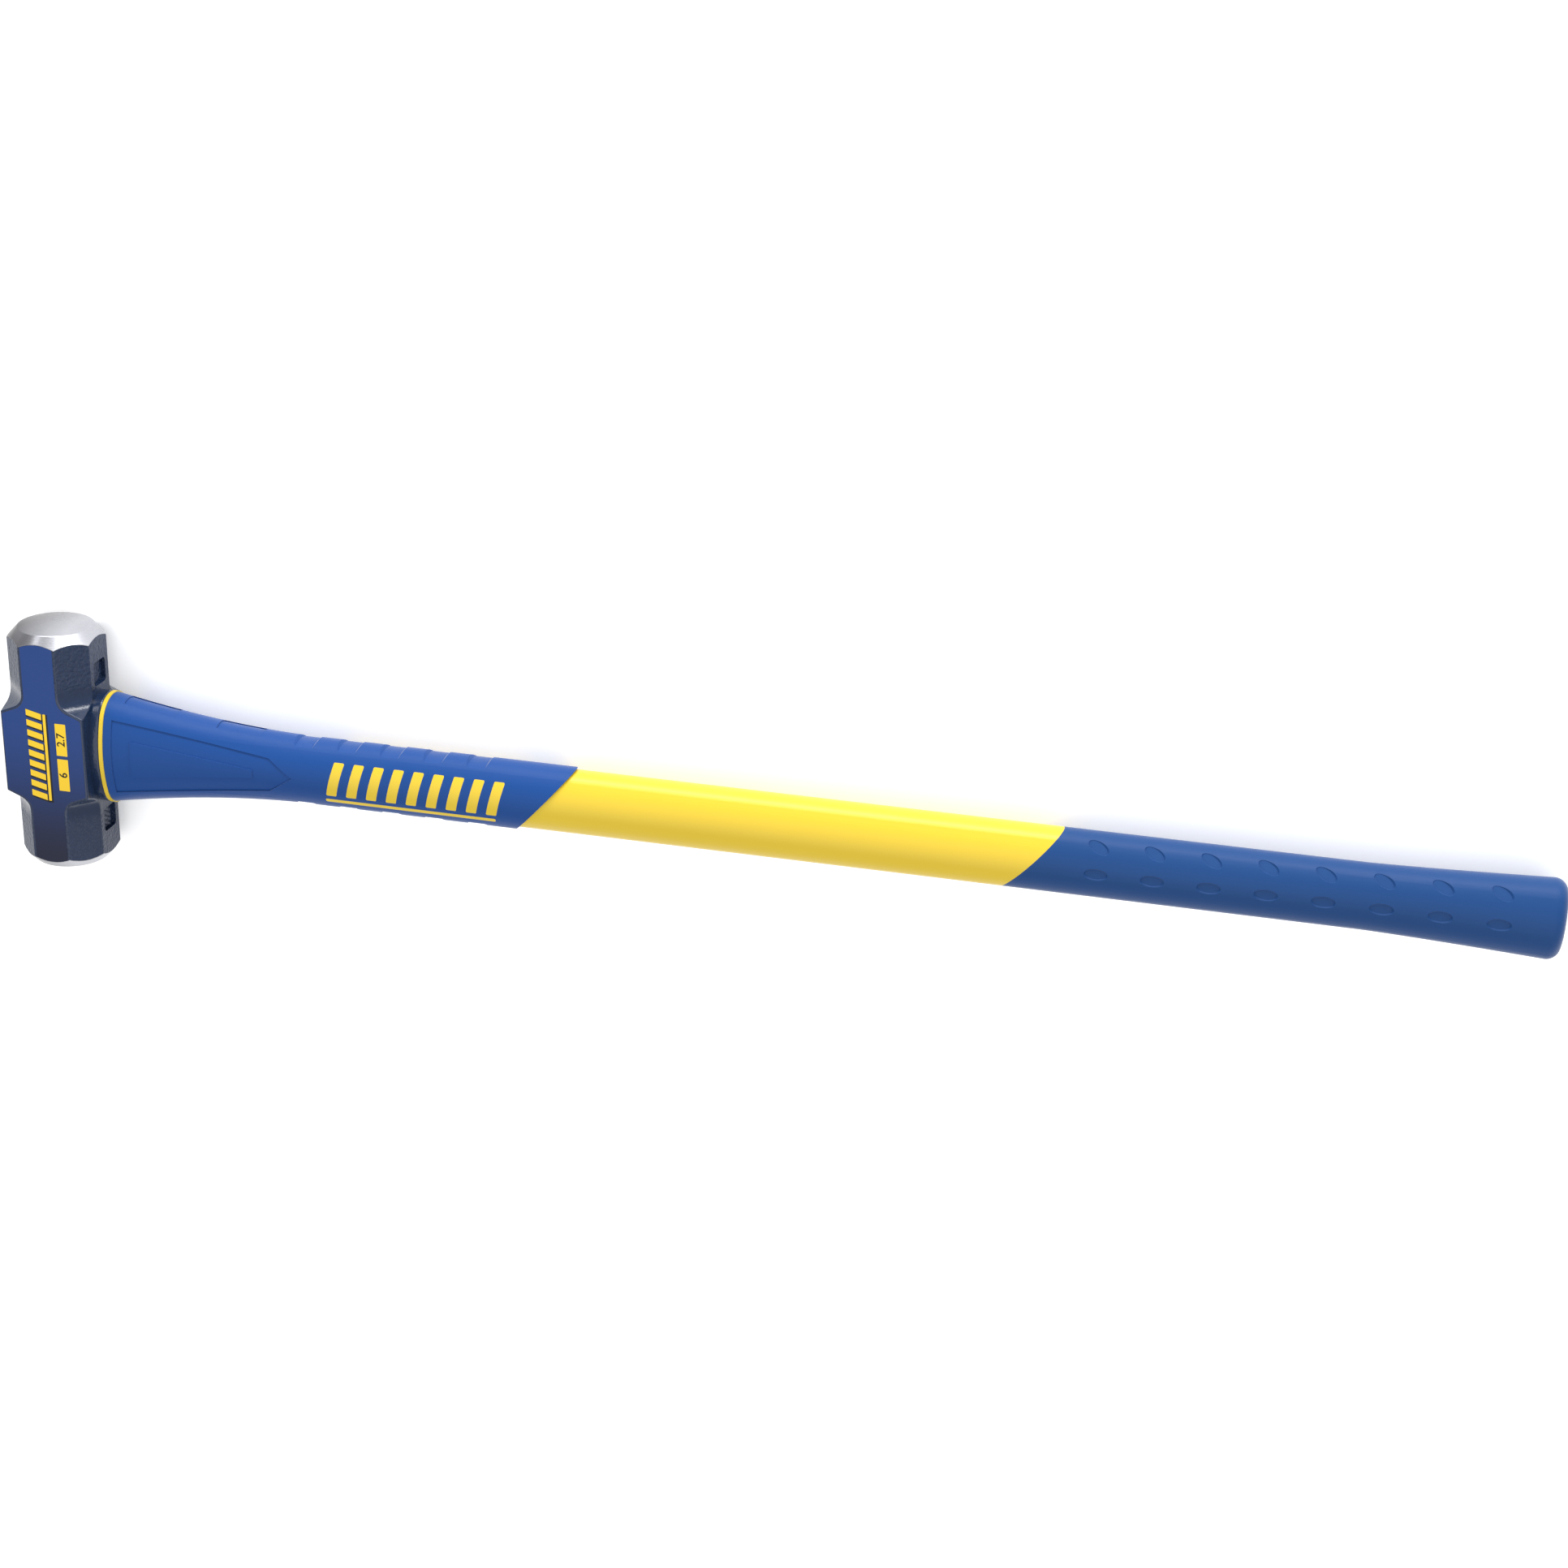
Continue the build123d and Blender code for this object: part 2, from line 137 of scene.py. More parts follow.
@dataclass(frozen=True)
class LacqueredForging(Finish):
    """Drop-forged steel under dark blue lacquer, with faces and chamfers ground bare.

    Scale left by the forging shows through the lacquer as a pebbled skin on the poles, and the
    lacquer pools smooth and wet in the scoops and round the collar. Grinding leaves fine rings,
    drawn coarser than real so that they show, and a slightly ragged edge of lacquer.
    """

    axis_height: float
    rim_place: float
    face_radius: float
    chamfer_angle: float
    lacquer: str = "#0F203C"
    lacquer_thin: str = "#1A2C49"
    steel: str = "#BFC0C6"
    # Colour of the bare steel where painted shade darkens it, away from the handle's side.
    steel_in_shade: str = "#2E2B2F"
    pebble_mm: float = 2.1
    blotch_mm: float = 26.0
    pebble_depth_mm: float = 1.2
    ring_mm: float = 0.45
    ring_depth_mm: float = 0.01
    ragged_mm: float = 2.5
    ragged_reach_mm: float = 0.5
    lacquer_edge_mm: float = 0.1
    face_band_mm: float = 2.0
    smooth_cheek_mm: float = 38.0
    fade_mm: float = 6.0

    def make(self) -> bpy.types.Material:
        """Builds the lacquer and the bare steel, and mixes them where the grinding ends."""
        material, tree, shader, place = self.start()
        centred = add(
            tree, "ShaderNodeMapping", {"Vector": place, "Location": (0, 0, -self.axis_height)}
        ).outputs["Vector"]
        along = add(
            tree, "ShaderNodeVectorMath", {0: centred, 1: (0, 1, 0)}, operation="DOT_PRODUCT"
        ).outputs["Value"]
        along = add(tree, "ShaderNodeMath", {0: along}, operation="ABSOLUTE").outputs[0]
        flat = add(
            tree, "ShaderNodeVectorMath", {0: centred, 1: (1, 0, 1)}, operation="MULTIPLY"
        ).outputs["Vector"]
        radius = add(
            tree, "ShaderNodeVectorMath", {0: flat}, operation="LENGTH"
        ).outputs["Value"]

        # This sum is the same all over the ground chamfer's cone, and smaller on the poles inside it.
        cone = add(
            tree,
            "ShaderNodeMath",
            {0: along, 1: math.tan(math.radians(self.chamfer_angle)), 2: radius},
            operation="MULTIPLY_ADD",
        ).outputs[0]
        cone_rim = self.rim_place * math.tan(math.radians(self.chamfer_angle)) + self.face_radius
        ragged = add(
            tree,
            "ShaderNodeTexNoise",
            {"Vector": place, "Scale": 1 / (self.ragged_mm * MM), "Detail": 3.0},
        ).outputs["Fac"]
        cone = add(
            tree,
            "ShaderNodeMath",
            {0: ragged, 1: self.ragged_reach_mm * MM, 2: cone},
            operation="MULTIPLY_ADD",
        ).outputs[0]
        on_chamfer = add(
            tree,
            "ShaderNodeMapRange",
            {
                "Value": cone,
                "From Min": cone_rim - self.lacquer_edge_mm * MM,
                "From Max": cone_rim,
            },
        ).outputs["Result"]
        on_face = add(
            tree,
            "ShaderNodeMath",
            {0: along, 1: self.rim_place - self.face_band_mm * MM},
            operation="GREATER_THAN",
        ).outputs[0]
        bare = add(
            tree, "ShaderNodeMath", {0: on_chamfer, 1: on_face}, operation="MAXIMUM"
        ).outputs[0]

        # Rings left by the grinding, as noise that is the same all the way round the striking axis.
        rings_place = add(
            tree, "ShaderNodeCombineXYZ", {"X": radius, "Y": along}
        ).outputs["Vector"]
        rings = add(
            tree,
            "ShaderNodeTexNoise",
            {"Vector": rings_place, "Scale": 1 / (self.ring_mm * MM), "Detail": 4.0},
            noise_dimensions="2D",
        ).outputs["Fac"]
        blotches = add(
            tree,
            "ShaderNodeTexNoise",
            {"Vector": place, "Scale": 1 / (self.blotch_mm * MM), "Detail": 5.0, "Roughness": 0.6},
        ).outputs["Fac"]

        # Painted shade: the bare steel is drawn dark away from the handle's side and bright towards it,
        # mixed a little with random blotches.
        steel_shading = add(tree, "ShaderNodeSeparateXYZ", {"Vector": place}).outputs["X"]
        steel_shading = add(
            tree,
            "ShaderNodeMapRange",
            {"Value": steel_shading, "From Min": -0.85 * self.face_radius, "From Max": 0.6 * self.face_radius},
        ).outputs["Result"]
        steel_shading = add(
            tree, "ShaderNodeMix", {"Factor": 0.2, 2: steel_shading, 3: blotches}
        ).outputs[0]
        steel = add(
            tree,
            "ShaderNodeMix",
            {"Factor": steel_shading, 6: linear(self.steel_in_shade), 7: linear(self.steel)},
            data_type="RGBA",
        ).outputs[2]

        # The pebbled skin fades out towards the cheeks, where the lacquer lies smooth.
        pebbles = add(
            tree,
            "ShaderNodeTexNoise",
            {"Vector": place, "Scale": 1 / (self.pebble_mm * MM), "Detail": 2.5, "Roughness": 0.55},
        ).outputs["Fac"]
        pebbled = add(
            tree,
            "ShaderNodeMapRange",
            {
                "Value": along,
                "From Min": self.smooth_cheek_mm * MM,
                "From Max": (self.smooth_cheek_mm + self.fade_mm) * MM,
                "To Min": 0.12,
                "To Max": 1.0,
            },
        ).outputs["Result"]
        lacquer = add(
            tree,
            "ShaderNodeMix",
            {"Factor": pebbles, 6: linear(self.lacquer), 7: linear(self.lacquer_thin)},
            data_type="RGBA",
        ).outputs[2]
        colour = add(
            tree, "ShaderNodeMix", {"Factor": bare, 6: lacquer, 7: steel}, data_type="RGBA"
        ).outputs[2]

        lacquer_rough = add(
            tree,
            "ShaderNodeMapRange",
            {"Value": pebbled, "To Min": 0.14, "To Max": 0.38},
        ).outputs["Result"]
        steel_rough = add(
            tree,
            "ShaderNodeMapRange",
            {"Value": rings, "From Min": 0.3, "From Max": 0.7, "To Min": 0.26, "To Max": 0.3},
        ).outputs["Result"]
        rough = add(
            tree, "ShaderNodeMix", {"Factor": bare, 2: lacquer_rough, 3: steel_rough}
        ).outputs[0]

        bumpy = add(
            tree, "ShaderNodeMath", {0: pebbles, 1: pebbled}, operation="MULTIPLY"
        ).outputs[0]
        lacquer_bump = add(
            tree,
            "ShaderNodeBump",
            {"Height": bumpy, "Strength": 0.9, "Distance": self.pebble_depth_mm * MM},
        ).outputs["Normal"]
        steel_bump = add(
            tree,
            "ShaderNodeBump",
            {"Height": rings, "Strength": 0.15, "Distance": self.ring_depth_mm * MM},
        ).outputs["Normal"]
        normal = add(
            tree,
            "ShaderNodeMix",
            {"Factor": bare, 4: lacquer_bump, 5: steel_bump},
            data_type="VECTOR",
        ).outputs[1]

        tree.links.new(colour, shader.inputs["Base Color"])
        tree.links.new(bare, shader.inputs["Metallic"])
        tree.links.new(rough, shader.inputs["Roughness"])
        tree.links.new(normal, shader.inputs["Normal"])
        return material


@dataclass(frozen=True)
class PrintedFilm(Finish):
    """Vinyl label film: glossy, flat, and a little rippled where it was rubbed down by hand.

    The print is drawn darker down the head, from the upper pole towards the lower pole: painted shade.
    """

    colour: str
    shaded_colour: str
    roughness: float = 0.3
    shade_from_mm: float = 25.0
    shade_to_mm: float = -70.0
    ripple_mm: float = 7.0
    ripple_depth_mm: float = 0.12

    def make(self) -> bpy.types.Material:
        """Builds an ink with painted shade that darkens it along the head, under a rippled gloss."""
        material, tree, shader, place = self.start()
        up_head = add(tree, "ShaderNodeSeparateXYZ", {"Vector": place}).outputs["Y"]
        # Painted shade: how far down the head the print is drawn towards its shaded colour.
        depth = add(
            tree,
            "ShaderNodeMapRange",
            {
                "Value": up_head,
                "From Min": self.shade_from_mm * MM,
                "From Max": self.shade_to_mm * MM,
            },
            interpolation_type="SMOOTHSTEP",
        ).outputs["Result"]
        colour = add(
            tree,
            "ShaderNodeMix",
            {"Factor": depth, 6: linear(self.colour), 7: linear(self.shaded_colour)},
            data_type="RGBA",
        ).outputs[2]
        ripples = add(
            tree,
            "ShaderNodeTexNoise",
            {"Vector": place, "Scale": 1 / (self.ripple_mm * MM), "Detail": 3.0},
        ).outputs["Fac"]
        normal = add(
            tree,
            "ShaderNodeBump",
            {"Height": ripples, "Strength": 0.3, "Distance": self.ripple_depth_mm * MM},
        ).outputs["Normal"]
        tree.links.new(colour, shader.inputs["Base Color"])
        tree.links.new(normal, shader.inputs["Normal"])
        shader.inputs["Roughness"].default_value = self.roughness
        shader.inputs["Specular IOR Level"].default_value = 0.3
        return material


@dataclass(frozen=True)
class MouldedPlastic(Finish):
    """Injection-moulded plastic: an even colour, a soft shine and the mould's fine grain.

    The grain is drawn coarser than real so that it shows. Bloom is the pale cast that an elastomer
    has at a glancing angle.
    """

    colour: str
    deeper: str
    roughness: float
    grain_mm: float
    grain_depth_mm: float
    flow_mm: float = 60.0
    gloss: float = 0.35
    bloom: float = 0.0

    def make(self) -> bpy.types.Material:
        """Builds the colour with slow flow marks, and the grain as bump and roughness."""
        material, tree, shader, place = self.start()
        stretched = add(
            tree, "ShaderNodeMapping", {"Vector": place, "Scale": (0.25, 1, 1)}
        ).outputs["Vector"]
        flow = add(
            tree,
            "ShaderNodeTexNoise",
            {"Vector": stretched, "Scale": 1 / (self.flow_mm * MM), "Detail": 3.0},
        ).outputs["Fac"]
        colour = add(
            tree,
            "ShaderNodeMix",
            {"Factor": flow, 6: linear(self.colour), 7: linear(self.deeper)},
            data_type="RGBA",
        ).outputs[2]
        grain = add(
            tree,
            "ShaderNodeTexNoise",
            {"Vector": place, "Scale": 1 / (self.grain_mm * MM), "Detail": 3.0},
        ).outputs["Fac"]
        rough = add(
            tree,
            "ShaderNodeMapRange",
            {
                "Value": grain,
                "From Min": 0.3,
                "From Max": 0.7,
                "To Min": self.roughness - 0.05,
                "To Max": self.roughness + 0.05,
            },
        ).outputs["Result"]
        normal = add(
            tree,
            "ShaderNodeBump",
            {"Height": grain, "Strength": 0.5, "Distance": self.grain_depth_mm * MM},
        ).outputs["Normal"]
        tree.links.new(colour, shader.inputs["Base Color"])
        tree.links.new(rough, shader.inputs["Roughness"])
        tree.links.new(normal, shader.inputs["Normal"])
        shader.inputs["Specular IOR Level"].default_value = self.gloss
        shader.inputs["Sheen Weight"].default_value = self.bloom
        shader.inputs["Sheen Roughness"].default_value = 0.35
        return material


@dataclass(frozen=True)
class CastEpoxy(Finish):
    """Poured epoxy resin: dark amber, glassy, with small trapped bubbles."""

    colour: str = "#3A2C1A"
    cloud: str = "#5A4526"
    cloud_mm: float = 6.0
    bubble_mm: float = 1.4
    pit_depth_mm: float = 0.3

    def make(self) -> bpy.types.Material:
        """Builds the cloudy amber and the pits that burst bubbles leave."""
        material, tree, shader, place = self.start()
        clouds = add(
            tree,
            "ShaderNodeTexNoise",
            {"Vector": place, "Scale": 1 / (self.cloud_mm * MM), "Detail": 4.0},
        ).outputs["Fac"]
        colour = add(
            tree,
            "ShaderNodeMix",
            {"Factor": clouds, 6: linear(self.colour), 7: linear(self.cloud)},
            data_type="RGBA",
        ).outputs[2]
        bubbles = add(
            tree, "ShaderNodeTexVoronoi", {"Vector": place, "Scale": 1 / (self.bubble_mm * MM)}
        ).outputs["Distance"]
        pits = add(
            tree, "ShaderNodeMapRange", {"Value": bubbles, "From Max": 0.25}
        ).outputs["Result"]
        normal = add(
            tree,
            "ShaderNodeBump",
            {"Height": pits, "Strength": 0.5, "Distance": self.pit_depth_mm * MM},
        ).outputs["Normal"]
        tree.links.new(colour, shader.inputs["Base Color"])
        tree.links.new(normal, shader.inputs["Normal"])
        shader.inputs["Roughness"].default_value = 0.18
        return material


@dataclass(frozen=True)
class SawnGlassFibre(Finish):
    """Pultruded glass-fibre rod, sawn across: straw-coloured resin with pale fibre ends."""

    resin: str = "#A99A62"
    fibre: str = "#E4DCB4"
    bundle_mm: float = 0.9
    bundle_depth_mm: float = 0.1

    def make(self) -> bpy.types.Material:
        """Builds the bundles of fibre ends, drawn coarser than real so that they show."""
        material, tree, shader, place = self.start()
        bundles = add(
            tree, "ShaderNodeTexVoronoi", {"Vector": place, "Scale": 1 / (self.bundle_mm * MM)}
        ).outputs["Distance"]
        colour = add(
            tree,
            "ShaderNodeMix",
            {"Factor": bundles, 6: linear(self.fibre), 7: linear(self.resin)},
            data_type="RGBA",
        ).outputs[2]
        normal = add(
            tree,
            "ShaderNodeBump",
            {"Height": bundles, "Strength": 0.4, "Distance": self.bundle_depth_mm * MM},
        ).outputs["Normal"]
        tree.links.new(colour, shader.inputs["Base Color"])
        tree.links.new(normal, shader.inputs["Normal"])
        shader.inputs["Roughness"].default_value = 0.6
        return material


@dataclass(frozen=True)
class OpalAcrylic(Finish):
    """Opal acrylic of a light table: matt, near white, and lit faintly from beneath."""

    colour: str = "#FAFAFA"
    glow: float = 0.3
    stipple_mm: float = 5.0
    stipple_depth_mm: float = 0.1

    def make(self) -> bpy.types.Material:
        """Builds a matt near-white with a slight stipple and a faint glow."""
        material, tree, shader, place = self.start()
        stipple = add(
            tree,
            "ShaderNodeTexNoise",
            {"Vector": place, "Scale": 1 / (self.stipple_mm * MM), "Detail": 2.0},
        ).outputs["Fac"]
        normal = add(
            tree,
            "ShaderNodeBump",
            {"Height": stipple, "Strength": 0.1, "Distance": self.stipple_depth_mm * MM},
        ).outputs["Normal"]
        tree.links.new(normal, shader.inputs["Normal"])
        shader.inputs["Base Color"].default_value = linear(self.colour)
        shader.inputs["Roughness"].default_value = 0.8
        shader.inputs["Emission Color"].default_value = linear(self.colour)
        shader.inputs["Emission Strength"].default_value = self.glow
        return material


def dress(node: str, finish: Finish) -> None:
    """Gives a CAD node its finish.

    Args:
        node: Name of the node.
        finish: Finish that every one of its material slots takes.
    """
    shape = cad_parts[node]
    material = finish.make()
    if not shape.material_slots:
        shape.data.materials.append(material)
    for slot in shape.material_slots:
        slot.material = material
    logger.info("%s dressed in %s", node, finish.name)


def place_piece(name: str, shape: bmesh.types.BMesh, finish: Finish) -> bpy.types.Object:
    """Turns a finished bmesh into a piece that rides on the hammer.

    Args:
        name: Name of the new piece.
        shape: Bmesh in the frame's own place. It is freed here.
        finish: Finish of the whole piece.

    Returns:
        The new object.
    """
    bmesh.ops.recalc_face_normals(shape, faces=shape.faces)
    mesh = bpy.data.meshes.new(name)
    shape.to_mesh(mesh)
    shape.free()
    piece = bpy.data.objects.new(name, mesh)
    bpy.context.scene.collection.objects.link(piece)
    mesh.materials.append(finish.make())
    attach(piece, BODY)
    logger.info("%s made, %d faces", name, len(mesh.polygons))
    return piece


class Layer(Enum):
    """Layers of the printed label, with the height in mm of each one's top over the head."""

    FILM = 0.09
    SHADE = 0.105
    YELLOW = 0.125
    INK = 0.14


@dataclass
class Head:
    """The forging, with the lacquer on it."""

    node: str = "head"
    face_radius_mm: float = 22.4
    face_crown_mm: float = 3.2
    chamfer_angle: float = 43.0

    def build(self) -> None:
        """Dresses the head, with the grinding's limits worked out from its box."""
        low, high = (Vector(corner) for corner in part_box(self.node))
        forging = LacqueredForging(
            name="forged_steel_blue_lacquer",
            axis_height=(low.z + high.z) / 2,
            rim_place=high.y - self.face_crown_mm * MM,
            face_radius=self.face_radius_mm * MM,
            chamfer_angle=self.chamfer_angle,
        )
        dress(self.node, forging)


@dataclass
class Label:
    """The printed film on the upper flat: slanted bars over a rule, and two number boxes."""

    node: str = "face_label"
    bar_count: int = 9
    bar_pitch_mm: float = 6.5
    bar_width_mm: float = 3.9
    bar_low_mm: float = -9.6
    bar_high_mm: float = 0.2
    bar_lean_mm: float = -2.4
    rule_low_mm: float = 1.1
    rule_high_mm: float = 2.9
    box_low_mm: float = 8.5
    box_high_mm: float = 15.4
    box_gap_mm: float = 2.2
    box_length_mm: float = 20.6
    corner_mm: float = 0.3
    shade_mm: float = 0.6
    numbers: tuple[str, str] = ("6", "2.7")
    number_size_mm: float = 7.2
    number_weight_mm: float = 0.1
    weld_mm: float = 0.001
    base: float = field(init=False, default=0.0)

    def build(self) -> None:
        """Makes the film and each layer of print on it."""
        low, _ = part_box(self.node)
        self.base = low[2]
        yellow = PrintedFilm("label_print_yellow", colour="#EDC62A", shaded_colour="#E3BB28")
        shade = PrintedFilm("label_print_shade", colour="#0B1020", shaded_colour="#0A0C16")
        ink = PrintedFilm("label_print_black", colour="#111111", shaded_colour="#0E0E0E")
        film = PrintedFilm("label_film_blue", colour="#173B7A", shaded_colour="#11162F")
        self.film(film)
        self.slabs("label_shade", self.bars(self.shade_mm), Layer.SHADE, shade, self.shade_mm)
        self.slabs("label_bars", self.bars(), Layer.YELLOW, yellow)
        self.slabs("label_boxes", self.boxes(), Layer.YELLOW, yellow)
        self.figures(ink)

    def film(self, finish: Finish) -> None:
        """Copies the CAD film and thins it, which leaves room for the print on top of it."""
        shape = bmesh.new()
        shape.from_mesh(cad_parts[self.node].data)
        bmesh.ops.remove_doubles(shape, verts=shape.verts, dist=self.weld_mm * MM)
        top = self.base + Layer.FILM.value * MM
        for vertex in shape.verts:
            vertex.co.z = min(vertex.co.z, top)
        piece = place_piece("label_film", shape, finish)
        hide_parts(self.node)

    def bars(self, grown: float = 0.0) -> list[Matrix]:
        """Works out the place of each slanted bar, and of the rule beside them.

        Args:
            grown: How much further each slab reaches on every side, in mm.

        Returns:
            One matrix for each slab, which takes a unit square to its place, in mm.
        """
        run = self.bar_pitch_mm * (self.bar_count - 1)
        length = self.bar_high_mm - self.bar_low_mm
        middle = (self.bar_high_mm + self.bar_low_mm) / 2
        lean = Matrix.Shear("XY", 4, (0, 0))
        lean[1][0] = self.bar_lean_mm / length
        bar = Matrix.Diagonal((length + 2 * grown, self.bar_width_mm + 2 * grown, 1, 1))
        rule_width = self.rule_high_mm - self.rule_low_mm
        rule_length = run + self.bar_width_mm
        rule = Matrix.Diagonal((rule_width + 2 * grown, rule_length + 2 * grown, 1, 1))
        rule_place = (self.rule_low_mm + rule_width / 2, self.bar_lean_mm / 2, 0)
        places = [(middle, self.bar_pitch_mm * number - run / 2, 0) for number in range(self.bar_count)]
        slabs = [Matrix.Translation(place) @ lean @ bar for place in places]
        return [*slabs, Matrix.Translation(rule_place) @ rule]

    def boxes(self) -> list[Matrix]:
        """Works out the place of the two boxes that hold the numbers.

        Returns:
            One matrix for each box, which takes a unit square to its place, in mm.
        """
        width = self.box_high_mm - self.box_low_mm
        middle = (self.box_high_mm + self.box_low_mm) / 2
        step = (self.box_length_mm + self.box_gap_mm) / 2
        size = Matrix.Diagonal((width, self.box_length_mm, 1, 1))
        return [Matrix.Translation((middle, side * step, 0)) @ size for side in (-1, 1)]

    def slabs(
        self, name: str, places: list[Matrix], layer: Layer, finish: Finish, shift: float = 0.0
    ) -> None:
        """Makes one piece of thin slabs with slightly rounded corners.

        Args:
            name: Name of the piece.
            places: One matrix for each slab, in mm.
            layer: Layer of the label, which sets the slabs' top.
            finish: Finish of the print.
            shift: How far the slabs lie off towards the handle and the lower pole, in mm.
        """
        shape = bmesh.new()
        bottom = Layer.FILM.value
        depth = layer.value - bottom
        for place in places:
            lift = Matrix.Translation((shift, -shift, bottom + depth / 2))
            stretch = Matrix.Diagonal((1, 1, depth, 1))
            bmesh.ops.create_cube(shape, size=1.0, matrix=lift @ place @ stretch)
        upright = [
            edge
            for edge in shape.edges
            if abs(edge.verts[0].co.z - edge.verts[1].co.z) > depth / 2
        ]
        bmesh.ops.bevel(
            shape,
            geom=upright,
            offset=self.corner_mm,
            affect="EDGES",
            segments=3,
            profile=0.5,
            material=-1,
        )
        bmesh.ops.scale(shape, vec=(MM, MM, MM), verts=shape.verts)
        bmesh.ops.translate(shape, vec=(0, 0, self.base), verts=shape.verts)
        place_piece(name, shape, finish)

    def figures(self, finish: Finish) -> None:
        """Makes the plain numbers in the boxes, which read up the head."""
        shape = bmesh.new()
        middle = (self.box_high_mm + self.box_low_mm) / 2
        step = (self.box_length_mm + self.box_gap_mm) / 2
        for number, side in zip(self.numbers, (-1, 1)):
            text = bpy.data.curves.new("number", "FONT")
            text.body = number
            text.align_x = "CENTER"
            text.align_y = "CENTER"
            text.size = self.number_size_mm
            text.offset = self.number_weight_mm
            text.extrude = (Layer.INK.value - Layer.YELLOW.value) / 2
            holder = bpy.data.objects.new("number", text)
            mesh = bpy.data.meshes.new_from_object(holder)
            lift = (Layer.INK.value + Layer.YELLOW.value) / 2
            turn = Matrix.Translation((middle, side * step, lift)) @ Matrix.Rotation(math.pi / 2, 4, "Z")
            mesh.transform(turn)
            shape.from_mesh(mesh)
            bpy.data.objects.remove(holder)
            bpy.data.curves.remove(text)
            bpy.data.meshes.remove(mesh)
        bmesh.ops.remove_doubles(shape, verts=shape.verts, dist=self.weld_mm)
        bmesh.ops.scale(shape, vec=(MM, MM, MM), verts=shape.verts)
        bmesh.ops.translate(shape, vec=(0, 0, self.base), verts=shape.verts)
        place_piece("label_numbers", shape, finish)


@dataclass
class Handle:
    """The rod and the mouldings over it, with the finish that each of them takes."""

    jacket: Finish = MouldedPlastic(
        "moulded_polypropylene_yellow",
        colour="#DCBE32",
        deeper="#D6B72E",
        roughness=0.34,
        grain_mm=0.6,
        grain_depth_mm=0.02,
        bloom=0.12,
    )
    neck_sleeve: Finish = MouldedPlastic(
        "moulded_elastomer_blue",
        colour="#0E4489",
        deeper="#0D3F80",
        roughness=0.5,
        grain_mm=0.45,
        grain_depth_mm=0.04,
        gloss=0.22,
        bloom=0.3,
    )
    grip: Finish = MouldedPlastic(
        "moulded_elastomer_grip_blue",
        colour="#13427B",
        deeper="#113D73",
        roughness=0.5,
        grain_mm=0.45,
        grain_depth_mm=0.04,
        gloss=0.22,
        bloom=0.3,
    )
    core: Finish = SawnGlassFibre("sawn_glass_fibre")
    eye_resin: Finish = CastEpoxy("cast_epoxy_amber")
    eye_seal: Finish = MouldedPlastic(
        "moulded_rubber_black",
        colour="#141414",
        deeper="#1B1B1B",
        roughness=0.6,
        grain_mm=0.6,
        grain_depth_mm=0.03,
    )

    def build(self) -> None:
        """Dresses the jacket, the sleeve, the grip, and what shows at the head's far side."""
        dress("jacket", self.jacket)
        dress("neck_sleeve", self.neck_sleeve)
        dress("grip", self.grip)
        dress("core", self.core)
        dress("eye_resin", self.eye_resin)
        dress("eye_seal", self.eye_seal)


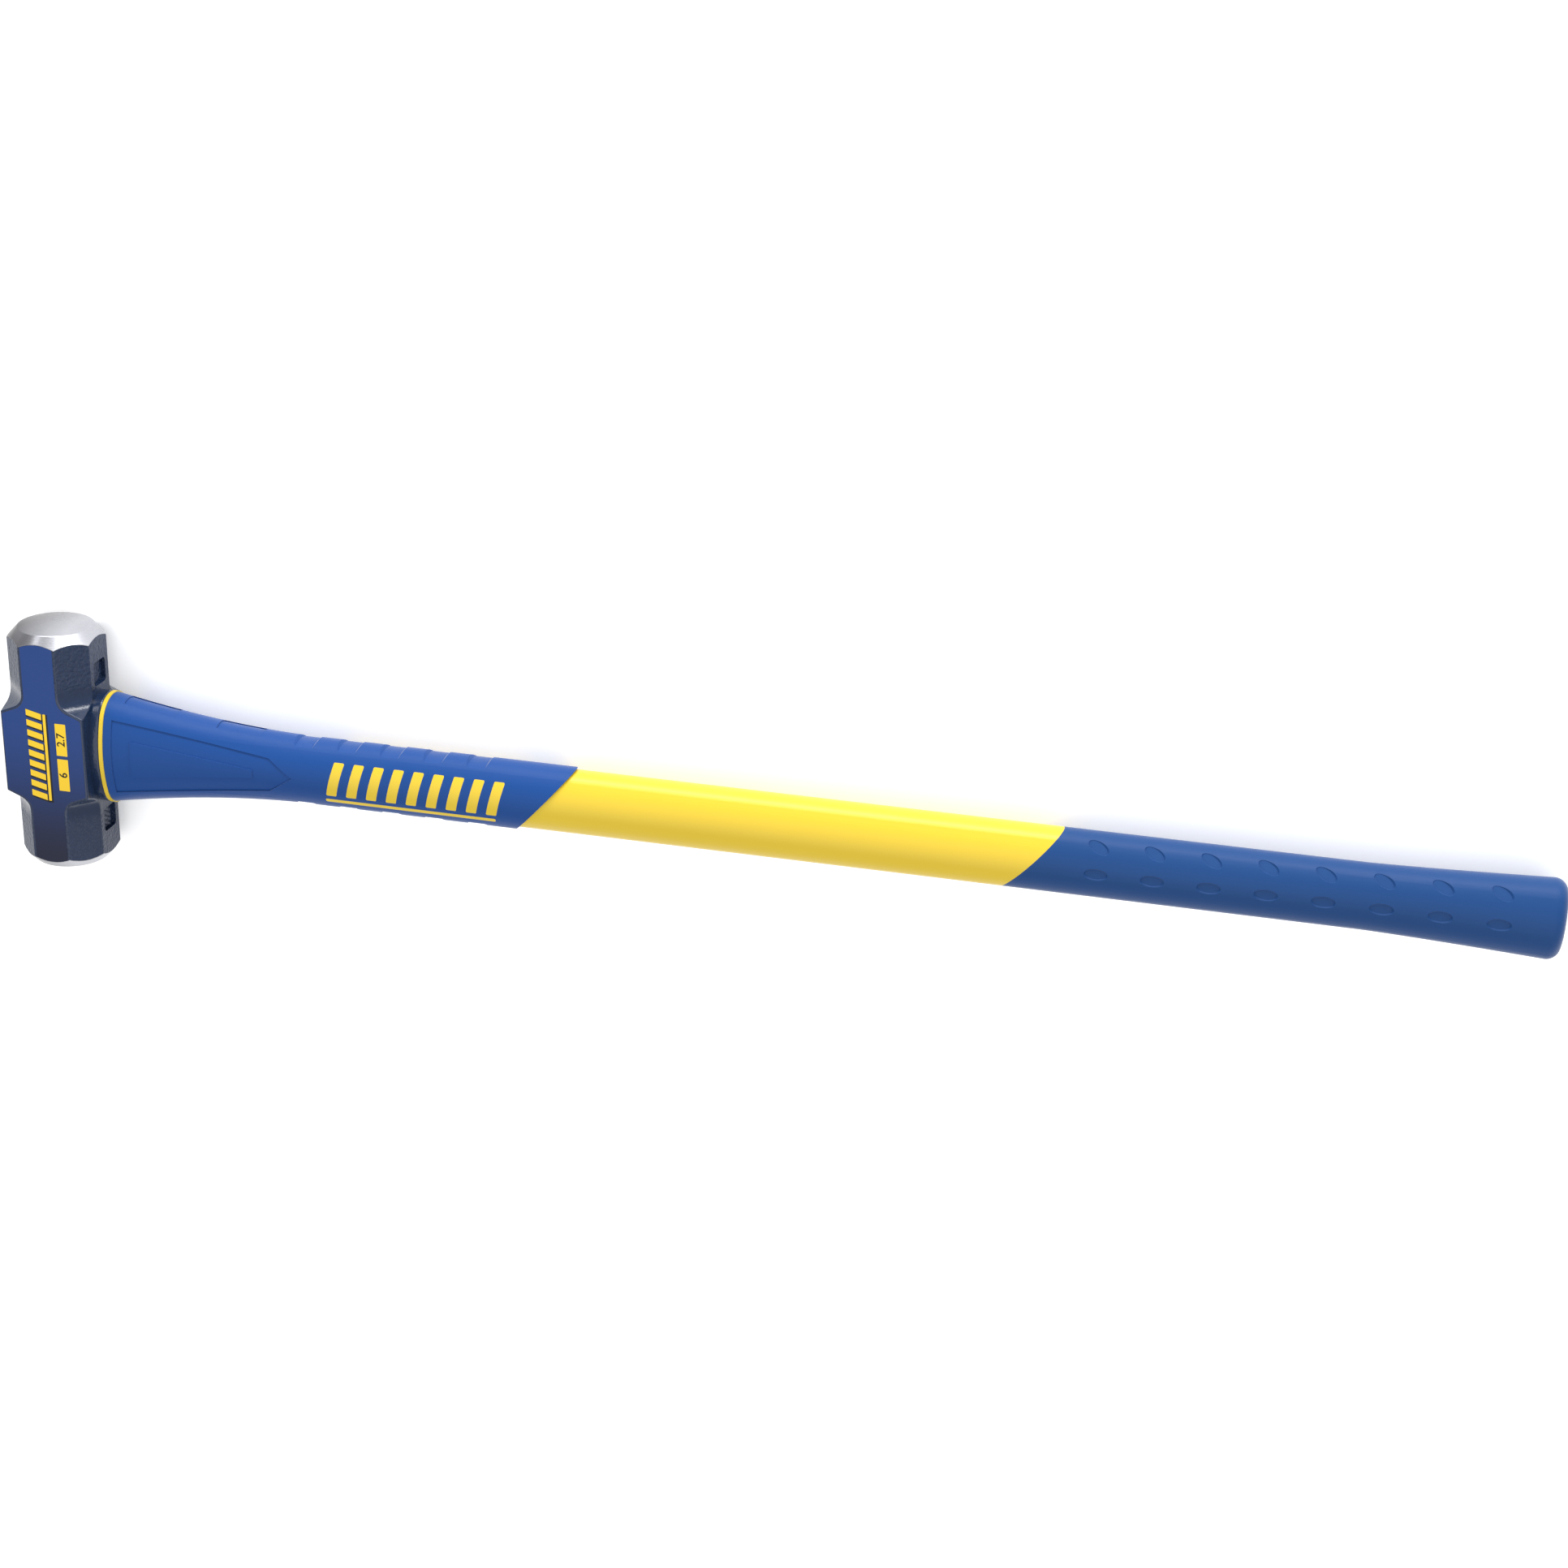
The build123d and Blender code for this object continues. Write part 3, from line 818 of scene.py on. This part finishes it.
@dataclass
class Studio:
    """Pale floor, soft lights and the camera."""

    camera_place: Point = (0.6934, 0.5720, 1.3086)
    camera_aim: Point = (0.4489, 0.0265, 0.0265)
    camera_roll: float = -2.46
    lens_mm: float = 56.37
    sensor_mm: float = 36.0
    floor_size: float = 30.0
    skylight_from: Point = (0.1, -0.1, 1.0)
    skylight_strength: float = 1.15
    skylight_spread: float = 75.0
    wall_strength: float = 0.66

    def build(self) -> None:
        """Builds the floor, the world, the lights and the camera."""
        self.floor()
        self.world()
        self.skylight()
        self.light(
            "strip_light",
            place=(-0.65, 1.2, 0.66),
            aim=(0, 0.07, 0.03),
            size=(0.12, 1.0),
            power=2,
        )
        self.light(
            "back_softbox",
            place=(0.55, 1.6, 0.24),
            aim=(0.4, 0, 0.03),
            size=(2.4, 0.4),
            power=34,
        )
        self.camera()

    def floor(self) -> None:
        """Lays the floor that the head rests on."""
        shape = bmesh.new()
        bmesh.ops.create_grid(shape, x_segments=1, y_segments=1, size=self.floor_size / 2)
        bmesh.ops.translate(shape, vec=(0, 0, cad_box[0][2]), verts=shape.verts)
        mesh = bpy.data.meshes.new("floor")
        shape.to_mesh(mesh)
        shape.free()
        mesh.materials.append(OpalAcrylic("opal_acrylic_floor").make())
        floor = bpy.data.objects.new("floor", mesh)
        bpy.context.scene.collection.objects.link(floor)
        logger.info("floor laid")

    def world(self) -> None:
        """Lights the studio's walls evenly."""
        world = bpy.data.worlds.new("studio")
        world.use_nodes = True
        background = world.node_tree.nodes["Background"]
        background.inputs["Color"].default_value = linear("#FFFFFF")
        background.inputs["Strength"].default_value = self.wall_strength
        bpy.context.scene.world = world
        bpy.context.scene.view_settings.view_transform = "Standard"

    def skylight(self) -> None:
        """Hangs the wide, even light over the floor, nearly straight above the hammer."""
        lamp = bpy.data.lights.new("skylight", "SUN")
        lamp.energy = self.skylight_strength
        lamp.angle = math.radians(self.skylight_spread)
        holder = bpy.data.objects.new("skylight", lamp)
        holder.rotation_euler = Vector(self.skylight_from).to_track_quat("Z", "Y").to_euler()
        bpy.context.scene.collection.objects.link(holder)
        logger.info("skylight hung")

    def light(
        self, name: str, place: Point, aim: Point, size: tuple[float, float], power: float
    ) -> None:
        """Hangs a softbox.

        Args:
            name: Name of the light.
            place: Where it hangs.
            aim: Point that it faces.
            size: Its two sides.
            power: Its power in watts.
        """
        lamp = bpy.data.lights.new(name, "AREA")
        lamp.shape = "RECTANGLE"
        lamp.size, lamp.size_y = size
        lamp.energy = power
        holder = bpy.data.objects.new(name, lamp)
        holder.location = place
        holder.rotation_euler = (Vector(aim) - Vector(place)).to_track_quat("-Z", "Y").to_euler()
        bpy.context.scene.collection.objects.link(holder)
        logger.info("%s hung, %.0f W", name, power)

    def camera(self) -> None:
        """Sets the camera up over the grip's side, with the striking axis up the picture."""
        forward = (Vector(self.camera_aim) - Vector(self.camera_place)).normalized()
        upright = (Vector((0, 1, 0)) - forward * forward.y).normalized()
        upright.rotate(Matrix.Rotation(math.radians(self.camera_roll), 3, forward))
        right = forward.cross(upright)
        turn = Matrix((right, upright, -forward)).transposed().to_4x4()
        lens = bpy.data.cameras.new("camera")
        lens.lens = self.lens_mm
        lens.sensor_width = self.sensor_mm
        holder = bpy.data.objects.new("camera", lens)
        holder.matrix_world = Matrix.Translation(self.camera_place) @ turn
        bpy.context.scene.collection.objects.link(holder)
        bpy.context.scene.camera = holder
        logger.info("camera set")


def main() -> None:
    """Builds the hammer's looks and the studio."""
    logging.basicConfig(level=logging.INFO, format="%(message)s")
    Head().build()
    Label().build()
    Handle().build()
    Studio().build()


if __name__ == "__main__":
    main()
